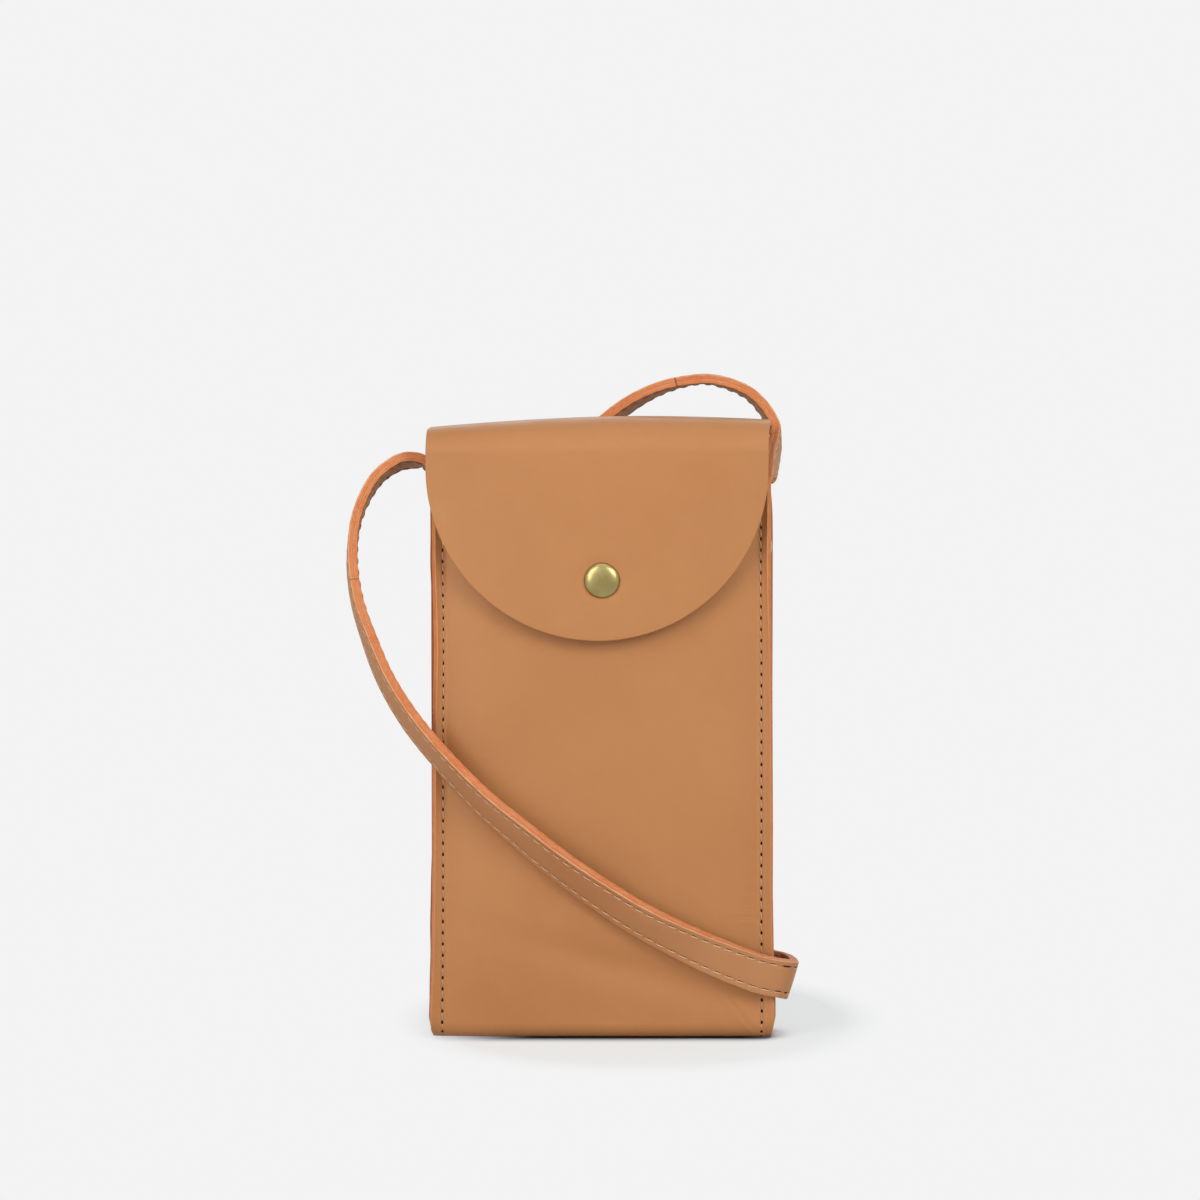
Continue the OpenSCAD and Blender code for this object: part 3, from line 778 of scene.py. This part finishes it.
def tubes(name, start, end, normal, radius, high, sink, materials):
    """One short raised stitch from each start to its end, with its ends sunk in the leather."""
    steps = np.array([0.0, 0.07, 0.2, 0.36, 0.5, 0.64, 0.8, 0.93, 1.0])
    line = start[:, None] + (end - start)[:, None] * steps[None, :, None]
    lift = (high + sink) * np.sin(np.pi * steps) ** 0.5 - sink
    line = line + normal[:, None] * lift[None, :, None]
    along = unit(np.gradient(line, axis=1))
    over = unit(np.cross(along, normal[:, None]))
    up = np.cross(over, along)
    size = radius * np.array([0.5, 0.75, 0.95, 1.03, 1.05, 1.03, 0.95, 0.75, 0.5])
    turn = turns(8)[None, None, :, None]
    ring = over[:, :, None] * np.cos(turn) + up[:, :, None] * np.sin(turn)
    verts = line[:, :, None] + ring * size[None, :, None, None]
    ids = np.arange(verts.size // 3).reshape(verts.shape[:3])
    ends = ids[:, 0, ::-1].tolist() + ids[:, -1].tolist()
    return add_object(name, verts.reshape(-1, 3), ring_faces(ids).tolist() + ends, materials)


def between(place, gap, slant, normal):
    """Both ends of each stitch between the holes, left short of them and set a little aslant."""
    step = np.diff(place, axis=0)
    along = unit(step)
    over = unit(np.cross(along, normal[:-1] + normal[1:]))
    return place[:-1] + along * gap + over * slant, place[1:] - along * gap - over * slant


def shade_dishes(name, place, spots, long, wide, material):
    """Shallow dark dishes laid just on the leather's face, painted shade for stitch holes and slots:
    place(u, v, proud) gives the leather's face at a distance u along and v across, and spots are the
    distances of their middles."""
    turn = turns(10)
    u, v = spots
    rings = []
    for share, proud in ((1, 0.03 * MM), (0.5, 0.015 * MM)):
        at_u = u[:, None] + share * long * np.cos(turn)
        at_v = v[:, None] + share * wide * np.sin(turn)
        rings.append(place(at_u, at_v, proud))
    verts = np.stack(rings, 1)
    ids = np.arange(verts.size // 3).reshape(verts.shape[:3])
    return add_object(name, verts.reshape(-1, 3), ring_faces(ids).tolist() + ids[:, 1].tolist(), [material])


def make_seam(side):
    s = np.linspace(1.6 * MM, SEAM_END - 1.4 * MM, round((SEAM_END - 3 * MM) / STITCH) + 1)
    x = np.full(len(s), side * SEAM_X)
    place, normal = leather(s, x), leather_normal(s, x)
    word = "left" if side < 0 else "right"

    def face(u, v, proud):
        return leather(u, v) + leather_normal(u, v) * proud

    middle_n = unit(normal[:-1] + normal[1:])
    start, end = between(place, 0.45 * MM, 0.16 * MM, normal)
    thread = tubes("seam_stitches_" + word, start, end, middle_n, 0.28 * MM, 0.18 * MM, 0.25 * MM, [THREAD])
    # Dark dishes over the stitch holes: painted shade of the holes
    hole_shades = shade_dishes("seam_hole_shades_" + word, face, (s, x), 0.62 * MM, 0.4 * MM, HOLE_SHADE)
    # The bobbin side lies on the gusset's flange, in the channel
    inner = place - normal * (LEATHER_T + BOND + GUSSET_T)
    start, end = between(inner, 0.3 * MM, 0, normal)
    bobbin = tubes("seam_bobbin_stitches_" + word, start, end, -middle_n, 0.25 * MM, 0.16 * MM, 0.25 * MM,
                   [THREAD])
    for piece in (thread, hole_shades, bobbin):
        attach(piece, "pouch")
    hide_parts("seam_thread_" + word)
    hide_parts("seam_bobbin_" + word)


# Strap

STRAP_W = 12 * MM
STRAP_T = 3 * MM
STRAP_SEAM = 1.8 * MM
STRAP_STITCH = 3.8 * MM
STRAP_END_Z = MOUTH_Z - 30 * MM
RIVET_Z = STRAP_END_Z + 8 * MM
CHANNEL_TOP_Z = STRAP_END_Z + 21 * MM
CHANNEL_X = WEB_X + 0.75 * MM + STRAP_T / 2
FRONT_Y = HALF_D + FRONT_SWELL
BACK_Y = HALF_D + BACK_SWELL

# Each row has the place across, in half widths, the panel that the strap stands
# off (-1 front, 0 side, 1 back), the stand-off in strap widths, the height as a
# share of the pouch's, and the direction across the strap. The foot of the right
# arch lies up to 1.9 mm further in than in the solids
ROUTE_SHARES = [
    (-0.966, 0, 0, 0.896, 0, 1, 0), (-1.02, 0, -0.02, 0.9235, 0, 0.99, -0.14),
    (-1.108, 0, -0.04, 0.929, 0, 0.96, -0.27), (-1.203, 0, -0.08, 0.9235, 0.05, 0.96, -0.24),
    (-1.328, 0, -0.17, 0.896, 0.1, 0.98, -0.12), (-1.43, 0, -0.26, 0.839, 0.03, 1, -0.02),
    (-1.459, 0, -0.38, 0.772, -0.08, 0.99, -0.02), (-1.43, -0.15, -0.42, 0.707, -0.15, 0.98, -0.06),
    (-1.355, -0.35, -0.42, 0.644, -0.23, 0.96, -0.11), (-1.257, -0.6, -0.35, 0.58, -0.29, 0.94, -0.16),
    (-1.116, -0.8, -0.36, 0.518, -0.33, 0.91, -0.24), (-0.941, -1, -0.36, 0.46, -0.34, 0.89, -0.31),
    (-0.709, -1, -0.49, 0.393, -0.36, 0.83, -0.42), (-0.476, -1, -0.51, 0.338, -0.37, 0.77, -0.51),
    (-0.244, -1, -0.5, 0.286, -0.38, 0.71, -0.58), (-0.011, -1, -0.46, 0.24, -0.38, 0.65, -0.66),
    (0.221, -1, -0.43, 0.199, -0.37, 0.58, -0.72), (0.455, -1, -0.38, 0.165, -0.36, 0.48, -0.8),
    (0.688, -1, -0.3, 0.135, -0.34, 0.32, -0.88), (0.922, -1, -0.17, 0.109, -0.32, 0.19, -0.93),
    (1.056, -0.97, 0, 0.1, -0.3, 0.14, -0.95), (1.094, -0.45, 0, 0.093, -0.3, 0.05, -0.96),
    (1.094, 0.45, 0, 0.09, -0.26, 0, -0.97), (1.062, 0.95, 0.05, 0.091, -0.2, -0.05, -0.97),
    (0.933, 1, 0.26, 0.0995, -0.1, -0.1, -0.99), (0.724, 1, 0.48, 0.123, 0, -0.3, -0.95),
    (0.457, 1, 0.67, 0.1545, 0.1, -0.6, -0.8), (0.171, 1, 0.77, 0.196, 0.14, -0.83, -0.54),
    (-0.095, 1, 0.79, 0.251, 0.1, -0.95, -0.3), (-0.324, 1, 0.79, 0.325, 0.03, -1, -0.05),
    (-0.486, 1, 0.76, 0.414, 0, -1, 0), (-0.571, 1, 0.72, 0.518, 0, -1, 0),
    (-0.581, 1, 0.69, 0.628, 0, -1, 0), (-0.514, 1, 0.66, 0.738, 0, -1, 0.05),
    (-0.371, 1, 0.63, 0.843, -0.04, -0.98, 0.12), (-0.162, 1, 0.63, 0.935, -0.1, -0.97, 0.2),
    (0.095, 1, 0.63, 1.001, -0.12, -0.96, 0.24), (0.333, 1, 0.65, 1.039, -0.06, -0.98, 0.16),
    (0.571, 1, 0.65, 1.055, 0, -1, 0.06), (0.718, 1, 0.61, 1.05, 0, -0.99, 0.1),
    (0.847, 1, 0.55, 1.0358, 0, -0.99, 0.14), (0.929, 1, 0.5, 1.0167, 0, -0.98, 0.2),
    (0.991, 1, 0.43, 0.9925, -0.03, -0.94, 0.33), (1.027, 1, 0.32, 0.9678, -0.05, -0.87, 0.48),
    (1.02, 0.98, 0, 0.9481, -0.07, -0.83, 0.55), (1.006, 0.62, 0, 0.9337, -0.1, -0.85, 0.51),
    (0.992, 0.3, 0, 0.9223, -0.14, -0.9, 0.4), (0.978, 0.1, 0, 0.9122, -0.12, -0.96, 0.24),
    (0.965, 0, 0, 0.9, -0.03, -1, 0.08), (0.95, 0, 0, 0.88, 0, -1, 0),
]


def strap_knots():
    """The strap's knots from end to end: place and the direction across the strap."""
    def channel(side, z):
        return [side * CHANNEL_X, 0, z, 0, -side, 0]

    rows = [channel(-1, z) for z in (STRAP_END_Z, RIVET_Z, CHANNEL_TOP_Z)]
    for x, panel, off, z, *lean in ROUTE_SHARES:
        y = panel * (FRONT_Y if panel < 0 else BACK_Y) + off * STRAP_W
        rows.append([x * HALF_W, y, z * TOP, *lean])
    rows += [channel(1, z) for z in (CHANNEL_TOP_Z, RIVET_Z, STRAP_END_Z)]
    return np.array(rows)


def strap_line():
    """A fine smooth line through the knots."""
    steps = 12
    k = strap_knots()
    k = np.concatenate([k[:1], k, k[-1:]])
    a, b, c, d = k[:-3], k[1:-2], k[2:-1], k[3:]
    t = (np.arange(steps) / steps)[None, :, None]
    a, b, c, d = (v[:, None] for v in (a, b, c, d))
    line = 2 * b + (c - a) * t + (2 * a - 5 * b + 4 * c - d) * t**2 + (3 * b - a - 3 * c + d) * t**3
    line = line / 2
    return np.concatenate([line.reshape(-1, 6), k[-1:]])


STRAP_LINE = strap_line()
STRAP_STEPS = np.linalg.norm(np.diff(STRAP_LINE[:, :3], axis=0), axis=1)
STRAP_AT = np.concatenate([[0], np.cumsum(STRAP_STEPS)])
STRAP_LENGTH = STRAP_AT[-1]


def strap_sample(d):
    """Place and lean of the strap's middle line at distance d."""
    rows = np.stack([np.interp(d, STRAP_AT, column) for column in STRAP_LINE.T], -1)
    return rows[..., :3], rows[..., 3:]


def strap_frame(d):
    """Place at distance d, and the directions across the strap and out of its face."""
    d = np.clip(d, 0, STRAP_LENGTH)
    step = 0.8 * MM
    place, lean = strap_sample(d)
    t = unit(strap_sample(d + step)[0] - strap_sample(d - step)[0])
    w = unit(lean - np.sum(lean * t, -1, keepdims=True) * t)
    return place, w, np.cross(w, t)


HOLE_FIRST = 5 * MM
HOLE_COUNT = int((STRAP_LENGTH - 2 * HOLE_FIRST) / STRAP_STITCH)
HOLES_AT = HOLE_FIRST + np.arange(HOLE_COUNT + 1) * STRAP_STITCH


def strap_height(d, a, face):
    """Height of one face of the strap over its middle, at distance d and place a across."""
    to_hole = (d - HOLE_FIRST + STRAP_STITCH / 2) % STRAP_STITCH - STRAP_STITCH / 2
    from_rim = np.clip((np.abs(a) - (STRAP_W / 2 - 1.5 * MM)) / (1.2 * MM), 0, 1)
    out = STRAP_T / 2 + 0.1 * MM * (1 - (2 * a / STRAP_W) ** 2)
    out = out - (0.05 if face > 0 else 0.14) * MM * from_rim * bump(to_hole / (1.0 * MM))
    for edge in (-1, 1):
        seam = (a - edge * (STRAP_W / 2 - STRAP_SEAM)) / (0.6 * MM)
        out = out - bump(seam) * (0.16 * MM + 0.16 * MM * bump(to_hole / (0.8 * MM)))
    return out * face


def strap_place(d, a, b):
    """A place at distance d along the strap, a across it and b out of its middle."""
    p, w, n = strap_frame(d)
    return p + a[..., None] * w + b[..., None] * n


ROUND_R = 0.35 * MM


def layer_ring(d, face):
    """Places (a, b) round one layer of the strap and the height within its whole thickness,
    first over the face and then down one edge, along the joint and up the other edge."""
    flat_a = STRAP_W / 2 - ROUND_R
    plain = 3.2 * MM
    flat = spread((-flat_a, -plain, 0.35), (-plain, plain, 1.6), (plain, flat_a, 0.35))
    ones = np.ones_like(d)
    joint = face * 0.02 * MM * ones
    ring = [(a * ones, strap_height(d, a, face), 0.0) for a in flat]

    def edge_points(edge):
        top = strap_height(d, np.full_like(d, edge * flat_a), face)
        wobble = 0.03 * MM * np.sin(d * 760 + edge) + 0.02 * MM * np.sin(d * 1900)
        rows = []
        for angle in np.radians([20, 45, 70, 90]):
            drop = ROUND_R * (1 - math.cos(angle))
            out = flat_a + ROUND_R * math.sin(angle)
            rows.append((edge * (out + wobble), top - face * drop, drop / STRAP_T))
        for out, b in ((flat_a + ROUND_R + 0.03 * MM, 0.7 * MM), (flat_a + ROUND_R, 0.12 * MM)):
            rows.append((edge * (out + wobble), face * b * ones, 0.5 - b / STRAP_T))
        rows.append((edge * (flat_a + ROUND_R - 0.05 * MM + wobble), joint, 0.5))
        return rows

    ring += edge_points(1)
    ring += [(a * MM * ones, joint, 0.5) for a in (3, 0, -3)]
    ring += edge_points(-1)[::-1]
    return ring, len(flat) - 1


def make_strap_layer(name, face, leather_paint, node):
    """One layer of the strap. face is 1 for the outer layer and -1 for the backing."""
    d = np.linspace(0, STRAP_LENGTH, round(STRAP_LENGTH / (STRAP_STITCH / 5)) + 1)
    ring, on_face = layer_ring(d, face)
    verts = np.stack([strap_place(d, a, b) for a, b, q in ring], 1)
    rings, count = verts.shape[:2]
    ids = np.arange(rings * count).reshape(rings, count)
    quads = ring_faces(ids)
    ends = [ids[0, ::-1].tolist(), ids[-1].tolist()]
    depth = np.array([q for a, b, q in ring])
    if face < 0:
        quads = quads[:, ::-1]
        ends = [e[::-1] for e in ends]
        depth = 1 - depth
    # The face's own finish runs on over the first part of the rounded edges
    index = np.ones((rings - 1, count), int)
    index[:, :on_face + 2] = 0
    index[:, -2:] = 0
    sharp = [(a, b) for row in ids[[0, -1]] for a, b in zip(row, np.roll(row, -1))]
    piece = add_object(
        name, verts.reshape(-1, 3), quads.tolist() + ends, [leather_paint, STRAP_EDGE],
        np.append(index.ravel(), [1, 1]), sharp, depth=np.tile(depth, rings), along=np.repeat(d, count))
    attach(piece, "pouch")
    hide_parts(node)


def make_strap_stitches(edge, face):
    """One row of stitches with the painted shade of its slots, as it shows on one face."""
    word = "upper" if edge < 0 else "lower"
    if face > 0:
        kind, node, high, paint = "stitches", "strap_thread_" + word, 0.16 * MM, STRAP_THREAD
    else:
        kind, node, high, paint = "back_stitches", "strap_bobbin_" + word, 0.24 * MM, BACK_THREAD
    row = np.full(len(HOLES_AT), edge * (STRAP_W / 2 - STRAP_SEAM))

    def on_face(u, v, proud):
        return strap_place(u, v, strap_height(u, v, face) + face * proud)

    place = on_face(HOLES_AT, row, 0)
    up = strap_frame(HOLES_AT)[2] * face
    middle_n = unit(up[:-1] + up[1:])
    start, end = between(place, 0.45 * MM, 0.15 * MM * face, up)
    thread = tubes(f"strap_{kind}_{word}", start, end, middle_n, 0.27 * MM, high, 0.2 * MM, [paint])
    # Beside each stitch a dark lens is laid on the face: painted shade of the slot that the thread lies in
    middle = (HOLES_AT[:-1] + HOLES_AT[1:]) / 2
    spots = (middle, row[1:] - 0.24 * MM)
    slot_shades = shade_dishes(f"strap_{kind}_slot_shades_{word}", on_face, spots, 1.2 * MM, 0.3 * MM, SLOT_SHADE)
    for piece in (thread, slot_shades):
        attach(piece, "pouch")
    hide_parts(node)


def make_strap():
    make_strap_layer("strap_face_layer", 1, STRAP_FACE, "strap_face")
    make_strap_layer("strap_back_layer", -1, STRAP_BACK, "strap_backing")
    for edge in (-1, 1):
        make_strap_stitches(edge, 1)
        make_strap_stitches(edge, -1)


# Snap

def make_cap():
    """The snap's cap: a low dome with a rounded rim on a tube, which is rolled out in the socket."""
    tube = LEATHER_T + 0.55 * MM
    profile = [(0.01, -1.72), (0.9, -1.71), (1.8, -1.675), (2.7, -1.6), (3.4, -1.5), (4.0, -1.36),
               (4.5, -1.17), (4.9, -0.93), (5.2, -0.64), (5.4, -0.33), (5.48, -0.05), (5.44, 0.14),
               (5.3, 0.22), (4.9, 0.2), (4.6, -0.4), (1.5, -0.4)]
    rolled = [(1.5, 0), (2.05, 0), (2.2, 0.15), (2.05, 0.35), (1.3, 0.35), (1.1, 0.2)]
    profile = [(r * MM, h * MM) for r, h in profile]
    profile += [(r * MM, tube + h * MM) for r, h in rolled]
    profile += [(1.1 * MM, -0.4 * MM)]
    turn = turns(96)
    verts = [(r * math.cos(a), h - FLAP_Y, SNAP_Z + r * math.sin(a)) for r, h in profile for a in turn]
    ids = np.arange(len(verts)).reshape(len(profile), -1)
    ends = [ids[0].tolist(), ids[-1, ::-1].tolist()]
    piece = add_object("cap_dome", verts, ring_faces(ids)[:, [0, 3, 2, 1]].tolist() + ends, [BRASS])
    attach(piece, "flap")
    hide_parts("snap_cap")


def paint_hardware():
    brass = dict.fromkeys(("snap_socket", "snap_stud", "snap_post", "strap_rivet_posts"), PLAIN_BRASS)
    for node, material in {"strap_rivet_heads": BRASS, "snap_spring": STEEL, **brass}.items():
        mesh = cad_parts[node].data
        mesh.materials.clear()
        mesh.materials.append(material)


# Stage, light and camera

BACKGROUND = rgb(243, 243, 243)
FLOOR_HALF = 6.0
# The shadow fades out before the edge of an ellipse: its middle and its half axes
SHADOW_MIDDLE = (12 * MM, 30 * MM, 0)
SHADOW_REACH = (80 * MM, 115 * MM)
# Where the floor is open to the light, this much of the background's own tone is mixed in
PLAIN_SHARE = 0.62


def make_floor():
    """A pale floor that keeps the pouch's shadow, with a contact shadow painted into its colour, and runs
    out into the background's own tone. It throws less light up at the pouch than it shows."""
    half = FLOOR_HALF
    verts = [(-half, -half, 0), (half, -half, 0), (half, half, 0), (-half, half, 0)]
    p = Paint("floor", rough=0.95, gloss=0.05)
    # Right beside the pouch hardly any light gets in under it, and the floor's colour is darkened there by
    # its
    # occlusion: a painted contact shadow. The open floor's colour is a little blue, which offsets the
    # orange light the pouch throws on it
    closed = p.add("AmbientOcclusion", {"Distance": 14 * MM}, samples=16)
    open_share = p.span(closed.outputs["AO"], 0.4, 0.8)
    p.set("Base Color", p.mix(open_share, rgb(40, 42, 44), rgb(244, 251, 254)))
    dull = p.add("BsdfDiffuse", {"Color": rgb(215, 215, 215)})
    emission = p.add("Emission", {"Color": BACKGROUND, "Strength": 1.0})
    off = p.add("VectorMath", {0: p.place, 1: SHADOW_MIDDLE}, operation="SUBTRACT").outputs[0]
    scale = (1 / SHADOW_REACH[0], 1 / SHADOW_REACH[1], 0)
    off = p.add("VectorMath", {0: off, 1: scale}, operation="MULTIPLY").outputs[0]
    reach = p.add("VectorMath", {0: off}, operation="LENGTH").outputs["Value"]
    far = p.add("MapRange", {"Value": reach, "From Min": 0.5, "From Max": 1.0},
                interpolation_type="SMOOTHSTEP").outputs["Result"]
    far = p.chain("MAXIMUM", far, p.span(open_share, 0, 1, 0, PLAIN_SHARE))
    seen = p.seen()
    near = p.mix_shader(seen, dull.outputs[0], p.shader.outputs[0])
    shown = p.mix_shader(p.times(seen, far), near, emission.outputs[0])
    p.links.new(shown, p.nodes["Material Output"].inputs["Surface"])
    floor = add_object("floor", verts, [(0, 1, 2, 3)], [p.material])


def make_world(strength):
    world = bpy.data.worlds.new("studio")
    bpy.context.scene.world = world
    world.use_nodes = True
    w = Nodes(world.node_tree)
    lit = w.nodes["Background"]
    lit.inputs["Color"].default_value = (1, 1, 1, 1)
    lit.inputs["Strength"].default_value = strength
    shown = w.add("Background", {"Color": BACKGROUND})
    mixed = w.mix_shader(w.seen(), lit.outputs[0], shown.outputs[0])
    w.links.new(mixed, w.nodes["World Output"].inputs["Surface"])


def aim(obj, place, target):
    """Sets a lamp or a camera at a place, turned to its target."""
    obj.location = place
    obj.rotation_euler = (Vector(target) - Vector(place)).to_track_quat("-Z", "Y").to_euler()
    bpy.context.scene.collection.objects.link(obj)


def area_light(name, place, target, size, power):
    data = bpy.data.lights.new(name, "AREA")
    data.shape = "RECTANGLE"
    data.size, data.size_y = size
    data.energy = power
    aim(bpy.data.objects.new(name, data), place, target)


def make_lights():
    make_world(strength=0.32)
    middle = (0, 0, 0.12)
    area_light("key", (-0.62, -0.95, 0.55), middle, (0.6, 0.9), 6.7)
    area_light("fill", (0.62, -0.85, 0.6), middle, (0.5, 0.45), 4.8)
    area_light("top", (0.0, -0.35, 1.5), (0, -0.1, 0), (1.2, 0.8), 1.8)
    area_light("back", (0.25, 1.1, 0.9), middle, (1.2, 0.9), 2.2)


def make_camera():
    data = bpy.data.cameras.new("camera")
    data.sensor_width = 36
    data.lens = 177
    data.clip_start, data.clip_end = 0.1, 50
    cam = bpy.data.objects.new("camera", data)
    target = Vector((-0.6, -14, 135.6)) * MM
    reach, tilt = 1800 * MM, math.radians(4.6)
    aim(cam, target + Vector((0, -math.cos(tilt), math.sin(tilt))) * reach, target)
    bpy.context.scene.camera = cam


bpy.context.scene.view_settings.view_transform = "Standard"
make_camera()
make_floor()
make_lights()
make_wrap()
make_flap()
for side in (-1, 1):
    make_gusset(side)
    make_seam(side)
make_strap()
make_cap()
paint_hardware()
